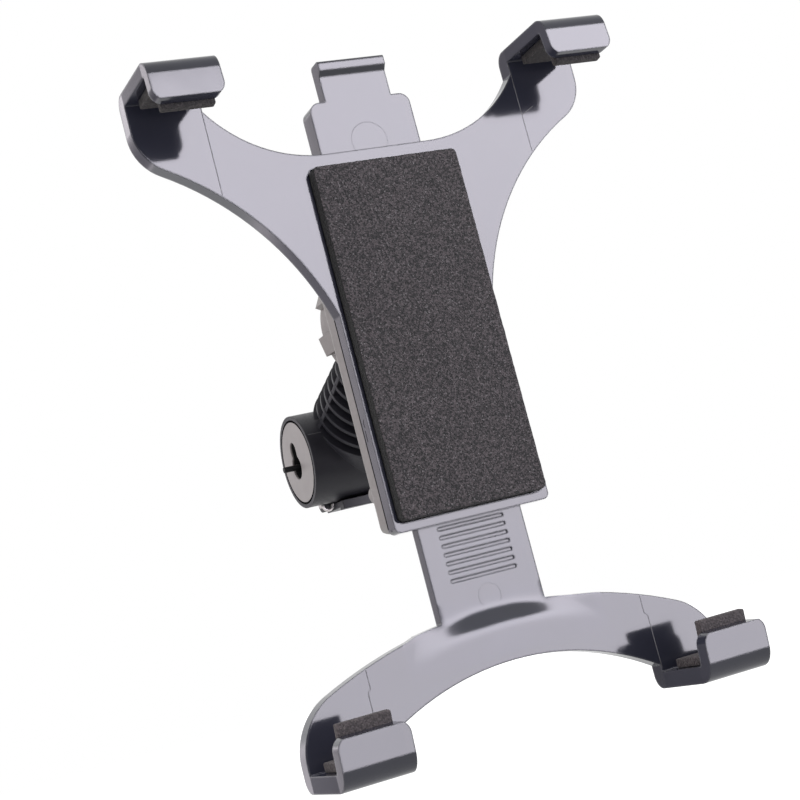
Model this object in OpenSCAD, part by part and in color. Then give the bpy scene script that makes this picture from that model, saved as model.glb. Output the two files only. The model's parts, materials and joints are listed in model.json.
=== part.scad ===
// Headrest tablet mount.
// A hooked holder on a ball joint, carried by a finned neck on a cross barrel.
// The origin is the middle of the barrel. X runs along the barrel, Z is up
// and the front of the holder looks towards -Y.

/* [Foam pad] */
// Width of the foam pad
foam_w = 44.2; // [43:0.2:52]
// Height of the foam pad
foam_h = 100; // [92:1:112]
// How far the foam stands out of the cover
foam_proud = 3.6; // [2:0.2:5]
// Depth of the pocket that the foam is glued into
foam_seat = 1.2; // [0.8:0.1:1.6]
// Gap round the foam in its pocket
foam_gap = 0.3; // [0.1:0.1:0.6]
// Radius of the foam's corners
foam_r = 1.6; // [0.8:0.1:3]

/* [Cover] */
// Width of the border beside the foam
border_side = 1.3; // [1:0.1:4]
// Width of the border above the foam
border_top = 3.9; // [3:0.1:6]
// Width of the border below the foam
border_bottom = 2.5; // [1.6:0.1:5]
// Thickness of the cover's front wall
cover_t = 3.0; // [2.6:0.1:3.4]
// Depth of the cover's rim, from its front face
rim_d = 5.2; // [4.6:0.1:7]
// Thickness of the rim and of the ribs behind the arms
rim_t = 2.0; // [1.4:0.1:2.6]
// Radius of the long hollow curve under each arm
sweep_r = 80; // [70:0.5:90]
// Height at which that curve leaves the side of the panel
sweep_z = -14.5; // [-20:0.5:-8]
// How far that curve would reach into the panel past its side
sweep_in = 3.4; // [0:0.1:5]
// Radius of the curve above each arm
crown_r = 39.8; // [37:0.2:44]
// How far below the hooks' wall the curve above an arm ends
crown_drop = 4; // [2:0.2:6]
// Radius of the panel's lower corners
panel_corner_r = 1.8; // [1:0.1:3]
// Radius of the arm's outer corner
corner_r = 13; // [8:0.5:14]

/* [Hooks] */
// Distance from the middle of the holder to the middle of an upper hook
upper_hook_x = 58.3; // [56:0.1:64]
// Distance from the middle of the holder to the middle of a lower hook
lower_hook_x = 53.3; // [50:0.1:60]
// Width of a hook at its lip
hook_w = 19.6; // [17:0.2:24]
// How much wider a hook is at the arm, on each side
hook_taper = 0.7; // [0:0.1:2.4]
// Height of the upper hooks' inner wall above the middle of the foam
upper_wall_z = 74.6; // [73:0.2:80]
// Depth of the lower hooks' inner wall below the middle of the foam
lower_wall_z = 107.3; // [105:0.2:116]
// Thickness of the upper hooks
upper_hook_t = 3.7; // [2.6:0.1:4]
// Thickness of the lower hooks
lower_hook_t = 4.6; // [3.4:0.1:5]
// Distance from the arm's face to the outside of the lip
hook_reach = 24.2; // [20:0.2:30]
// Length of the upper lips
upper_lip = 12.2; // [10:0.2:16]
// Length of the lower lips
lower_lip = 13.6; // [12:0.2:18]
// Outward lean of the lips in degrees
lip_flare = 6; // [2:1:12]
// Outside radius of the corner between arm and wall
heel_r = 3.6; // [3.3:0.1:7]
// Inside radius of the bend between wall and lip
bend_in = 1.2; // [0.6:0.1:2.4]
// Radius of the lip's corners
lip_corner_r = 3.6; // [2:0.2:5]
// Thickness of the foam lining in the hooks
lining_t = 2.6; // [1.6:0.1:3.4]
// How far the upper linings stand out past the lip
upper_lining_out = 1.2; // [0.6:0.2:3]
// How far the lower linings stand out past the lip
lower_lining_out = 3; // [1:0.2:4]
// How much shorter the lining is than the hook at each end
lining_inset = 2.4; // [0.6:0.2:3]
// Gap between the lining and the arm's face
lining_back = 3.2; // [1:0.2:6]

/* [Lower bracket] */
// Distance from the foam's face to the front of the tongue
tongue_y = 7.2; // [7.2:0.1:7.8]
// Width of the tongue
tongue_w = 32; // [28:0.5:34]
// Thickness of the tongue
tongue_t = 3.9; // [3:0.1:4.2]
// Height of the tongue's upper end, inside the body
tongue_top_z = -12; // [-20:1:-8]
// Distance from the foam's face to the front of the arch
arch_y = 2.2; // [1.8:0.1:3]
// Depth of the arch's rim
arch_d = 5.0; // [4.4:0.1:6]
// Thickness of the arch's front wall
arch_t = 2.6; // [2:0.1:3]
// Radius of the arch's outer curve
arch_out_r = 133; // [126:1:142]
// Depth of the arch's top below the middle of the foam
arch_top_z = 78; // [76:0.1:80]
// Radius of the arch's inner curve
arch_in_r = 81; // [76:1:88]
// Depth of the inner curve's top below the middle of the foam
arch_in_z = 93; // [91:0.1:95]
// Radius of the arch's outer corners
arch_corner_r = 17.5; // [14:0.5:19]
// Half width of the step between arch and tongue, at the arch's face
step_w = 29; // [26:0.5:31]
// Distance from the arch's inner curve to the brink of the step
step_brink = 10.2; // [8:0.1:11]
// Slope of the step in degrees
step_lean = 45; // [35:1:55]
// Radius that rounds the step's brink and foot
step_r = 3; // [1:0.2:3.4]
// Number of finger grooves
groove_n = 7; // [4:1:8]
// Distance between finger grooves
groove_pitch = 2.43; // [2:0.01:2.8]
// Length of a finger groove
groove_l = 20.4; // [16:0.2:24]
// Width of a finger groove
groove_w = 0.95; // [0.7:0.05:1.3]
// Depth of a finger groove
groove_d = 0.5; // [0.3:0.1:0.8]
// Pitch of the rack on the tongue's back
rack_pitch = 3; // [2.4:0.1:4]
// Depth of the rack's teeth
rack_d = 0.7; // [0.4:0.1:0.9]
// Width of the rack
rack_w = 9; // [6:0.5:12]

/* [Top tab] */
// Width of the tab
tab_w = 31; // [27:0.2:32.4]
// Width of the tab's neck
tab_neck_w = 20.4; // [16:0.2:23]
// Thickness of the tab's plate
tab_t = 2.4; // [2:0.1:3]
// Depth of the tab's neck
tab_neck_d = 4.4; // [3.6:0.1:5]
// Depth of the tab's wide part
tab_d = 6.8; // [5:0.1:7]
// Height of the tab's shoulders above the middle of the foam
tab_shoulder_z = 70.4; // [68:0.2:74]
// Height of the tab's top above the middle of the foam
tab_top_z = 82.1; // [79:0.2:86]
// Height of the tab's lower end, inside the body
tab_low_z = 30; // [28:1:36]
// Radius of the tab's shoulders
tab_corner_r = 3; // [2:0.5:5]
// How far the finger bead stands out of the tab
bead_out = 1.6; // [1:0.1:2.4]
// Height of the finger bead
bead_h = 2.8; // [2:0.1:4]

/* [Back shell] */
// Depth of the back shell behind the cover
shell_d = 10; // [9:0.1:12]
// Thickness of the shell's walls
shell_t = 2.2; // [1.6:0.1:2.6]
// Width of the groove between cover and shell
parting_w = 0.6; // [0.4:0.1:1]
// Depth of that groove
parting_d = 1; // [0.5:0.1:1.4]
// How far the shell stands back from the cover's edge
shell_inset = 0.7; // [0.3:0.1:1.2]
// Radius of the shell's rear edges
shell_r = 4; // [2:0.5:5]
// Radius of the shell's corners, seen from behind
shell_corner_r = 4.5; // [3:0.1:6]
// Sliding gap round the tongue and the tab
slide_gap = 0.3; // [0.2:0.05:0.5]
// Radius of a screw's shank
screw_r = 1.3; // [1.1:0.05:1.4]
// Radius of a screw's head
screw_head_r = 2.5; // [2.2:0.1:2.8]

/* [Ball joint] */
// Radius of the ball
ball_r = 8.5; // [8:0.1:9]
// Depth of the ball's centre behind the foam's face
ball_y = 26.4; // [26:0.1:30]
// Height of the ball's centre above the middle of the foam
ball_z = 9.5; // [2:0.5:12]
// Radius of the stem that carries the ball
stem_r = 3.8; // [3.2:0.1:4]
// Thickness of the liner round the ball
liner_t = 1.35; // [1.2:0.05:1.5]
// Thickness of the thrust pad in front of the liner
thrust_t = 1.25; // [1.1:0.05:1.4]
// Running gap between the spherical faces
ball_gap = 0.05; // [0.03:0.01:0.08]
// Half angle of the mouth that the stem comes out of
mouth_a = 66; // [62:1:70]
// Outside radius of the lock ring
ring_r = 19.4; // [18:0.1:20]
// Number of grip lugs on the lock ring
lug_n = 9; // [6:1:12]
// How far the lugs stand out
lug_out = 1.6; // [1:0.2:3]
// Width of a lug
lug_w = 5.6; // [4:0.2:8]

/* [Neck and barrel] */
// Distance from the middle of the barrel to the ball's centre
neck_len = 54.8; // [51:0.2:60]
// Angle by which the neck rises from the barrel in degrees
neck_rise = 33.4; // [28:0.2:35]
// Number of fins on the neck
fin_n = 7; // [5:1:8]
// Distance between fins
fin_pitch = 3.5; // [3.2:0.1:4]
// Thickness of a fin
fin_t = 1.2; // [0.9:0.1:1.5]
// Radius of the first fin, at the barrel
fin_low_r = 16.8; // [13:0.1:17.4]
// Radius of the last fin
fin_high_r = 12.8; // [9:0.1:13.4]
// Thickness of the web along the neck
web_t = 1.5; // [1.2:0.1:3]
// Radius of the neck's core
core_r = 5.6; // [5:0.1:6.4]
// Radius of the barrel
barrel_r = 14.4; // [14:0.1:16]
// Length of the barrel
barrel_l = 43; // [40:0.5:54]
// Thickness of the barrel's wall
barrel_t = 2.2; // [1.8:0.1:2.6]
// Width of the rim round an end cap
barrel_rim = 1.5; // [1.2:0.1:1.8]
// Thickness of an end cap
cap_t = 2.4; // [2:0.1:3]
// Radius of the round part of the keyhole slot
key_r = 3.8; // [3.4:0.1:4.4]
// Width of the straight part of the keyhole slot
key_w = 4.8; // [4.2:0.1:5.6]
// Height of the keyhole slot
key_h = 11.6; // [10.6:0.2:13]

/* [Latch and paddle] */
// Radius of the pins at the latch's ends
latch_pin_r = 0.9; // [0.7:0.05:1.1]
// How far the latch pins stick out of the end caps
latch_out = 3.6; // [2:0.2:5]
// Height of the latch bar
latch_h = 2.4; // [2:0.1:3]
// Depth of the latch bar, front to back
latch_d = 7; // [6:0.2:7.2]
// Length of the release paddle
paddle_l = 24; // [20:0.5:28]
// Width of the release paddle, front to back
paddle_w = 13; // [11:0.5:15]
// Thickness of the release paddle
paddle_t = 1.8; // [1.4:0.1:2.2]
// Radius of the paddle's pivot pin
paddle_pin_r = 1.1; // [0.9:0.05:1.2]
// Radius of the spring wire
wire_r = 0.45; // [0.35:0.05:0.6]

/* [Hidden] */

$fn = 96;
// Overlap that keeps cuts and joins clean.
eps = 0.02;
// Fine gap between rigid pieces that sit in each other.
seat_gap = 0.05;
// A length past every piece, for cuts.
far = 300;

// The panel's edges, from the middle of the foam.
panel_w = foam_w + 2 * (foam_gap + border_side);
panel_top = foam_h / 2 + foam_gap + border_top;
panel_low = -foam_h / 2 - foam_gap - border_bottom;
cover_y = foam_proud;
cover_back = cover_y + rim_d;
cover_in = cover_y + cover_t;

// The upper hooks and the arm's curves.
upper_in_x = upper_hook_x - hook_w / 2 - hook_taper;
upper_out_x = upper_hook_x + hook_w / 2 + hook_taper;
upper_wall_out = upper_wall_z + upper_hook_t;
sweep_x = panel_w / 2 + sweep_r - sweep_in;
corner_x = upper_out_x - corner_r;
corner_z = sweep_z + sqrt(pow(sweep_r + corner_r, 2) - pow(sweep_x - corner_x, 2));
crown_z = panel_top + crown_r;
crown_x = upper_in_x - sqrt(pow(crown_r, 2) - pow(crown_z - upper_wall_z + crown_drop, 2));

// The arch's curves and the lower hooks.
lower_in_x = lower_hook_x - hook_w / 2 - hook_taper;
lower_out_x = lower_hook_x + hook_w / 2 + hook_taper;
arch_back = arch_y + arch_d;
arch_out_z = -arch_top_z - arch_out_r;
arch_in_cz = -arch_in_z - arch_in_r;
arch_corner_x = lower_out_x - arch_corner_r;
arch_corner_z = arch_out_z + sqrt(pow(arch_out_r - arch_corner_r, 2) - pow(arch_corner_x, 2));
lower_wall_out = lower_wall_z + lower_hook_t;
tongue_back = tongue_y + tongue_t;
step_foot_w = step_w - (tongue_y - arch_y) / tan(step_lean);
groove_top_z = panel_low - groove_pitch / 2;

// The shell, its slots and its screws.
shell_back = cover_back + shell_d;
shell_w = panel_w - 2 * shell_inset;
shell_top = panel_top - shell_inset;
shell_low = panel_low + shell_inset;
slot_y = tongue_y - slide_gap;
tongue_slot_y = tongue_back + slide_gap;
tab_slot_y = tongue_y + tab_d + slide_gap;
screw_x = (shell_w / 2 + tongue_w / 2 + slide_gap) / 2;
screw_z = [shell_top - 12, shell_low + 12];
boss_r = shell_w / 2 - screw_x - slide_gap;
screw_head_h = 1.6;
leaf_z = panel_low + 14;
leaf_y = tongue_slot_y + 1.6;

// The ball joint. Each radius follows from the one inside it.
liner_in_r = ball_r + ball_gap;
liner_out_r = liner_in_r + liner_t;
thrust_in_r = liner_out_r + ball_gap;
thrust_out_r = thrust_in_r + thrust_t;
cavity_r = thrust_out_r + ball_gap;
thrust_low = ball_r / 2 + 0.6;
lip_back = liner_out_r * cos(mouth_a) + 1.6;
mouth_r = liner_out_r * sin(mouth_a);
mouth_flare = 2.4;
ring_edge = 1.5;
lug_step = 0.6;
lug_turn = 0.22;
boss_out_r = ring_r - 3.6;
ring_front = shell_back + 0.8;
ring_back = ball_y + lip_back;

// The neck and the barrel.
neck_start = barrel_r - 1;
fin_step = (fin_low_r - fin_high_r) / (fin_n - 1);
neck_end = neck_start + (fin_n - 1) * fin_pitch + fin_t / 2 + 1.6;
bore_r = barrel_r - barrel_t;
cap_r = barrel_r - barrel_rim - seat_gap;
key_y = 1.5;
key_low = -1.3;
latch_z = key_low + 0.2;
latch_top_z = latch_z + latch_h / 2;
latch_pin_y = key_y + 2.4;
post_w = 6;
post_d = 3;
paddle_z = -barrel_r - 0.4 - paddle_t;
paddle_pin_y = 8.4;
paddle_pin_z = -barrel_r + 0.6;
ear_w = 2;
ear_x = paddle_l / 2 + 0.4;
ear_r = paddle_pin_r + 1.3;
spring_x = ear_x + ear_w + 1;
spring_r = 1.6;

// Moves a shape given from the foam's face to its place on the ball joint.
module on_holder() {
    translate([0, -neck_len * cos(neck_rise) - ball_y, neck_len * sin(neck_rise) - ball_z])
        children();
}

// Moves a shape given round the ball's centre, with the neck's axis as its Z.
module on_neck() {
    rotate([90 - neck_rise, 0, 0]) children();
}

// A front outline in X and Z, made solid from y0 back to y1.
module slab(y0, y1) {
    translate([0, y1, 0]) rotate([90, 0, 0]) linear_extrude(y1 - y0) children();
}

// A side profile in Y and Z, made solid from x0 to x1.
module bar(x0, x1) {
    translate([x0, 0, 0]) rotate([90, 0, 90]) linear_extrude(x1 - x0) children();
}

module both_sides() {
    children();
    mirror([1, 0, 0]) children();
}

// A rectangle with rounded corners, from its low corner to its high one.
module round_rect(x0, z0, x1, z1, r) {
    translate([x0 + r, z0]) square([x1 - x0 - 2 * r, z1 - z0]);
    translate([x0, z0 + r]) square([x1 - x0, z1 - z0 - 2 * r]);
    for (x = [x0 + r, x1 - r], z = [z0 + r, z1 - r]) translate([x, z]) circle(r);
}

// Takes away what lies outside a round corner between two directions.
module corner_cut(x, z, r, a0, a1) {
    translate([x, z]) difference() {
        polygon([[0, 0], [2 * far * cos(a0), 2 * far * sin(a0)],
                 [3 * far * cos((a0 + a1) / 2), 3 * far * sin((a0 + a1) / 2)],
                 [2 * far * cos(a1), 2 * far * sin(a1)]]);
        circle(r);
    }
}

// The cover seen from the front, drawn in by the given amount: the panel and two arms.
module cover_outline(i = 0) {
    round_rect(-panel_w / 2 + i, panel_low + i, panel_w / 2 - i, panel_top - i,
        max(panel_corner_r - i, 0.2));
    difference() {
        translate([-upper_out_x + i, sweep_z])
            square([2 * (upper_out_x - i), upper_wall_out - i - sweep_z]);
        both_sides() translate([sweep_x, sweep_z]) circle(sweep_r + i, $fn = 180);
        both_sides() corner_cut(corner_x, corner_z, corner_r - i,
            atan2(sweep_z - corner_z, sweep_x - corner_x), 0);
        translate([-crown_x, panel_top - i]) square([2 * crown_x, far]);
        both_sides() translate([crown_x, crown_z])
            square([upper_in_x + i - crown_x, far]);
        both_sides() intersection() {
            translate([crown_x, crown_z]) circle(crown_r + i, $fn = 120);
            translate([0, -far]) square([upper_in_x + i, 2 * far]);
        }
    }
}

// A hook's side profile. The wall's inner face is Z = 0 and the arm's face
// is Y = 0. The lip comes down in front of it.
module hook_profile(t, lip, back) {
    bend_r = bend_in + t;
    cy = -hook_reach + bend_r;
    cz = t - bend_r;
    translate([cy, 0]) square([back - cy, t]);
    translate([cy, cz]) difference() {
        union() {
            circle(bend_r);
            rotate(-lip_flare) translate([-bend_r, -lip + bend_r])
                square([t, lip - bend_r]);
        }
        circle(bend_in);
        rotate(-lip_flare) translate([-bend_in, -far]) square([far, far]);
        translate([0, -far]) square([far, far + bend_in]);
    }
}

// The front view of a hook, with round corners at the lip's end.
module hook_front(t, lip) {
    w = hook_w / 2;
    z = t - lip;
    difference() {
        translate([-hook_w, z]) square([2 * hook_w, far]);
        for (m = [0, 1]) mirror([m, 0]) corner_cut(w - lip_corner_r, z + lip_corner_r, lip_corner_r, -90, 0);
    }
}

// One hook, over the middle of its own width. It narrows towards its lip.
module hook(t, lip, back) {
    w0 = hook_w / 2 + hook_taper;
    w1 = hook_w / 2;
    bend_y = -hook_reach + bend_in + t;
    intersection() {
        bar(-w0, w0) hook_profile(t, lip, back);
        slab(-2 * hook_reach, far) hook_front(t, lip);
        translate([0, 0, -far]) linear_extrude(2 * far)
            polygon([[-w0, back], [w0, back], [w0, 0], [w1, bend_y], [w1, -2 * hook_reach],
                     [-w1, -2 * hook_reach], [-w1, bend_y], [-w0, 0]]);
    }
}

// What is cut away to round the heel of a hook, where the arm's back meets the wall.
module heel_cut(t, back) {
    bar(-hook_w, hook_w) corner_cut(back - heel_r, t - heel_r, heel_r, 0, 90);
}

// The foam lining of a hook: one leg under the wall and one behind the lip.
module lining(t, lip, out) {
    cy = -hook_reach + bend_in + t;
    cz = -bend_in;
    r = bend_in - seat_gap;
    w = hook_w / 2 - lining_inset;
    bar(-w, w) {
        translate([cy, cz + r - lining_t]) square([-cy - lining_back, lining_t]);
        translate([cy, cz]) circle(r);
        translate([cy, cz]) rotate(-lip_flare)
            translate([-r, -lip + bend_in + t - out])
                square([lining_t, lip - bend_in - t + out]);
    }
}

// Ribs behind one arm, from its root towards its hook.
module arm_ribs() {
    rib_h = rim_d - cover_t - 0.4;
    for (a = [20, 44, 66]) slab(cover_in - eps, cover_in + rib_h) intersection() {
        translate([panel_w / 2, panel_top - 8]) rotate(a - 34)
            translate([0, -rim_t / 4]) square([far, rim_t / 2]);
        cover_outline(rim_t / 2);
        translate([panel_w / 2 - rim_t, -far]) square([far, 2 * far]);
    }
}

module front_cover() {
    color("#2a2a30") on_holder() difference() {
        union() {
            slab(cover_y, cover_in) cover_outline();
            slab(cover_y, cover_back) difference() {
                cover_outline();
                cover_outline(rim_t);
            }
            both_sides() translate([upper_hook_x, cover_y, upper_wall_z])
                hook(upper_hook_t, upper_lip, rim_d);
            both_sides() arm_ribs();
            // Side walls of the body and guides beside the tongue and the tab.
            both_sides() slab(cover_in - eps, cover_back)
                translate([panel_w / 2 - rim_t, panel_low + rim_t / 2])
                    square([rim_t, panel_top - panel_low - rim_t]);
            slab(cover_in - eps, cover_back)
                translate([-panel_w / 2 + rim_t / 2, panel_top - rim_t])
                    square([panel_w - rim_t, rim_t]);
            // Screw bosses, down to the shell's seats.
            for (x = [-screw_x, screw_x], z = screw_z)
                translate([x, shell_back - screw_head_h - shell_t, z])
                    rotate([90, 0, 0])
                        cylinder(h = shell_back - screw_head_h - shell_t - cover_in + eps, r = boss_r);
        }
        // Round heels of the hooks.
        both_sides() translate([upper_hook_x, cover_y, upper_wall_z]) heel_cut(upper_hook_t, rim_d);
        // Pocket for the foam pad.
        slab(cover_y - 1, cover_y + foam_seat)
            round_rect(-foam_w / 2 - foam_gap, -foam_h / 2 - foam_gap,
                       foam_w / 2 + foam_gap, foam_h / 2 + foam_gap, foam_r + foam_gap);
        // Slots that the tongue and the tab slide through.
        slab(slot_y, cover_back + 1) translate([-tongue_w / 2 - slide_gap, panel_low - 1])
            square([tongue_w + 2 * slide_gap, 4]);
        slab(slot_y, cover_back + 1) translate([-tab_w / 2 - slide_gap, panel_top - 5])
            square([tab_w + 2 * slide_gap, 6]);
        // Pilot holes for the screws.
        for (x = [-screw_x, screw_x], z = screw_z)
            translate([x, far / 2, z]) rotate([90, 0, 0])
                cylinder(h = far / 2 - cover_in, r = screw_r + seat_gap);
    }
}

// The shell's outer block: rounded along its rear edges.
module shell_block(i, y0, y1, r) {
    intersection() {
        translate([0, 0, shell_low + i]) linear_extrude(shell_top - shell_low - 2 * i)
            difference() {
                translate([-shell_w / 2 + i, y0]) square([shell_w - 2 * i, y1 - y0]);
                corner_cut(shell_w / 2 - i - r, y1 - r, r, 0, 90);
                mirror([1, 0]) corner_cut(shell_w / 2 - i - r, y1 - r, r, 0, 90);
            }
        bar(-far, far) difference() {
            translate([y0, shell_low + i]) square([y1 - y0, shell_top - shell_low - 2 * i]);
            corner_cut(y1 - r, shell_top - i - r, r, 0, 90);
            translate([0, shell_low + shell_top]) mirror([0, 1])
                corner_cut(y1 - r, shell_top - i - r, r, 0, 90);
        }
        slab(y0, y1) round_rect(-shell_w / 2 + i, shell_low + i, shell_w / 2 - i, shell_top - i,
                                shell_corner_r - i);
    }
}

module back_shell() {
    color("#8b8480") on_holder() difference() {
        union() {
            difference() {
                shell_block(0, cover_back, shell_back, shell_r);
                shell_block(shell_t, cover_back - 1, shell_back - shell_t, shell_r - shell_t);
            }
            // Rails that carry the tongue and the tab.
            intersection() {
                shell_block(0, cover_back, shell_back, shell_r);
                both_sides() {
                    slab(tongue_slot_y, shell_back) translate([tongue_w / 2 - 4, shell_low])
                        square([rim_t, ball_z - shell_low]);
                    slab(tab_slot_y, shell_back) translate([tab_w / 2 - 4, ball_z])
                        square([rim_t, shell_top - ball_z]);
                }
            }
            // Housing of the ball socket, inside and outside the shell.
            translate([0, ball_y - seat_gap, ball_z]) rotate([90, 0, 0])
                cylinder(h = ball_y - tongue_slot_y, r = boss_out_r - 0.4);
            // Boss behind the detent leaf.
            slab(leaf_y, shell_back) translate([-rack_w / 2, leaf_z - 11])
                square([rack_w, 22]);
            // Seats of the screws.
            for (x = [-screw_x, screw_x], z = screw_z)
                translate([x, shell_back - eps, z]) rotate([90, 0, 0])
                    cylinder(h = screw_head_h + shell_t, r = boss_r);
        }
        // Groove along the joint with the cover.
        slab(cover_back - 1, cover_back + parting_w) difference() {
            translate([-panel_w, panel_low - 1]) square([2 * panel_w, panel_top - panel_low + 2]);
            round_rect(-shell_w / 2 + parting_d, shell_low + parting_d,
                       shell_w / 2 - parting_d, shell_top - parting_d, shell_corner_r - parting_d);
        }
        // Socket: a ball of the liner's size with a deeper seat for the thrust pad.
        translate([0, ball_y, ball_z]) sphere(thrust_in_r);
        translate([0, ball_y, ball_z]) intersection() {
            sphere(cavity_r);
            translate([-far / 2, -far, -far / 2]) cube([far, far - thrust_low + ball_gap, far]);
        }
        // Slots for the tongue and the tab.
        slab(slot_y, tongue_slot_y) translate([-tongue_w / 2 - slide_gap, shell_low - 1])
            square([tongue_w + 2 * slide_gap, ball_z - shell_low]);
        slab(slot_y, tab_slot_y) translate([-tab_w / 2 - slide_gap, 0])
            square([tab_w + 2 * slide_gap, shell_top + 1]);
        // Screw holes with sunk heads, and the bosses' seats.
        for (x = [-screw_x, screw_x], z = screw_z) translate([x, 0, z]) rotate([-90, 0, 0]) {
            cylinder(h = far, r = screw_r + seat_gap);
            translate([0, 0, shell_back - screw_head_h]) cylinder(h = far, r = screw_head_r + seat_gap);
            cylinder(h = shell_back - screw_head_h - shell_t, r = boss_r + seat_gap);
        }
    }
}

module foam_pad() {
    color("#3a3638") on_holder()
        slab(0, cover_y + foam_seat)
            round_rect(-foam_w / 2, -foam_h / 2, foam_w / 2, foam_h / 2, foam_r);
}

// Four pan-head screws that hold the shell to the cover.
module shell_screws() {
    shank_l = shell_back - screw_head_h - cover_in - 1;
    color("silver") on_holder()
        for (x = [-screw_x, screw_x], z = screw_z)
            translate([x, shell_back - screw_head_h, z]) rotate([-90, 0, 0]) difference() {
                union() {
                    cylinder(h = screw_head_h - 0.2, r = screw_head_r);
                    translate([0, 0, -shank_l]) cylinder(h = shank_l + eps, r = screw_r);
                }
                for (a = [0, 90]) rotate(a) translate([-1.4, -0.3, 0.6]) cube([2.8, 0.6, 2]);
            }
}

// Bowed spring strip that rides on the tongue's rack.
module detent_leaf() {
    leaf_t = 0.5;
    leaf_l = 20;
    leaf_bow = 1.4;
    bow_r = 33.4;
    color("silver") on_holder() bar(-rack_w / 2 + 1, rack_w / 2 - 1)
        translate([leaf_y, leaf_z]) difference() {
            intersection() {
                translate([-leaf_bow - 0.1, -leaf_l / 2]) square([leaf_bow + 0.1, leaf_l]);
                translate([bow_r - leaf_bow, 0]) circle(bow_r, $fn = 180);
            }
            translate([bow_r - leaf_bow + leaf_t, 0]) circle(bow_r, $fn = 180);
        }
}

module upper_lining(side) {
    color("#5c504c") on_holder()
        translate([side * upper_hook_x, cover_y, upper_wall_z])
            lining(upper_hook_t, upper_lip, upper_lining_out);
}

module lower_lining(side) {
    color("#5c504c") on_holder()
        translate([side * lower_hook_x, arch_y, -lower_wall_z])
            mirror([0, 0, 1]) lining(lower_hook_t, lower_lip, lower_lining_out);
}

// The arch seen from the front, drawn in by the given amount.
module arch_outline(i = 0) {
    difference() {
        translate([-lower_out_x + i, -lower_wall_out + i])
            square([2 * (lower_out_x - i), lower_wall_out - arch_top_z - 2 * i]);
        // Everything above the outer curve.
        difference() {
            translate([-far, -lower_wall_out]) square([2 * far, far]);
            translate([0, arch_out_z]) circle(arch_out_r - i, $fn = 240);
        }
        both_sides() corner_cut(arch_corner_x, arch_corner_z, arch_corner_r - i, 0,
            90 - atan2(arch_corner_x, arch_corner_z - arch_out_z));
        // The inner curve, and the gap between the hooks below it.
        intersection() {
            translate([0, arch_in_cz]) circle(arch_in_r + i, $fn = 180);
            translate([-lower_in_x - i, -far]) square([2 * (lower_in_x + i), 2 * far]);
        }
    }
}

// Section of the step's field: everything past a slope that starts at its brink
// in the arch's face, the origin here. Radius r rounds brink and foot, and the
// whole section is grown by g.
module step_section(r = 0, g = 0) {
    depth = tongue_y - arch_y;
    shift = g / sin(step_lean);
    tangent = r * tan(step_lean / 2);
    foot = depth / tan(step_lean);
    difference() {
        polygon([[-shift - 1 / tan(step_lean), -1], [far, -1], [far, depth + g],
                 [(depth + g) / tan(step_lean) - shift, depth + g]]);
        if (r > 0) difference() {
            polygon([[foot, depth + 1], [foot - tangent * cos(step_lean) - 1, depth + 1],
                     [foot - tangent * cos(step_lean), depth - tangent * sin(step_lean)],
                     [foot + tangent, depth], [foot + tangent, depth + 1]]);
            translate([foot + tangent, depth - r]) circle(r);
        }
    }
    if (r > 0) difference() {
        polygon([[-tangent, -1], [tangent * cos(step_lean), -1],
                 [tangent * cos(step_lean), tangent * sin(step_lean)], [-tangent, 0]]);
        translate([-tangent, r]) circle(r);
    }
}

// The sunk field of the step: its foot follows the arch's inner curve and its
// two sides run straight up.
module step_field(r = 0, g = 0) {
    intersection() {
        translate([0, arch_y, arch_in_cz]) rotate([-90, 0, 0]) rotate_extrude($fn = 240)
            intersection() {
                translate([arch_in_r + step_brink, 0]) step_section(r, g);
                translate([0, -far]) square([arch_in_r + step_brink + 40, 2 * far]);
            }
        both_sides() translate([0, arch_y, -lower_wall_z]) linear_extrude(lower_wall_z)
            intersection() {
                translate([step_w, 0]) mirror([1, 0]) step_section(r, g);
                translate([-eps, -far]) square([far, 2 * far]);
            }
    }
}

// Teeth across the back of the tongue.
module rack_cuts() {
    n = floor((-arch_top_z - tongue_top_z) / -rack_pitch) - 2;
    for (k = [0 : n - 1]) bar(-rack_w / 2, rack_w / 2)
        translate([tongue_back, tongue_top_z - 3 - k * rack_pitch])
            polygon([[1, 0], [-rack_d, 0], [0, -rack_pitch * 0.7], [1, -rack_pitch * 0.7]]);
}

module lower_bracket() {
    color("#2a2a30") on_holder() difference() {
        union() {
            // Arch: a front wall with a rim behind its edge.
            difference() {
                union() {
                    slab(arch_y, arch_y + arch_t) arch_outline();
                    slab(arch_y, arch_back) difference() {
                        arch_outline();
                        arch_outline(rim_t);
                    }
                }
                step_field(step_r);
            }
            both_sides() translate([lower_hook_x, arch_y, -lower_wall_z])
                mirror([0, 0, 1]) hook(lower_hook_t, lower_lip, arch_d);
            // Step between the arch and the tongue.
            intersection() {
                difference() {
                    step_field(0, arch_t);
                    step_field(step_r);
                }
                slab(arch_y, tongue_back) {
                    arch_outline();
                    translate([-tongue_w / 2, -arch_top_z - 2]) square([tongue_w, step_r + 4]);
                }
            }
            // Tongue, up into the body.
            slab(tongue_y, tongue_back) {
                translate([-tongue_w / 2, -arch_top_z - 2])
                    square([tongue_w, arch_top_z + 2 + tongue_top_z]);
                intersection() {
                    translate([-step_foot_w, -arch_top_z - 6]) square([2 * step_foot_w, 12]);
                    arch_outline();
                }
            }
        }
        // Round heels of the hooks.
        both_sides() translate([lower_hook_x, arch_y, -lower_wall_z])
            mirror([0, 0, 1]) heel_cut(lower_hook_t, arch_d);
        // Finger grooves.
        for (k = [0 : groove_n - 1])
            slab(tongue_y - 1, tongue_y + groove_d)
                translate([0, groove_top_z - k * groove_pitch])
                    round_rect(-groove_l / 2, -groove_w / 2, groove_l / 2, groove_w / 2, groove_w / 2 - eps);
        rack_cuts();
    }
}

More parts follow.
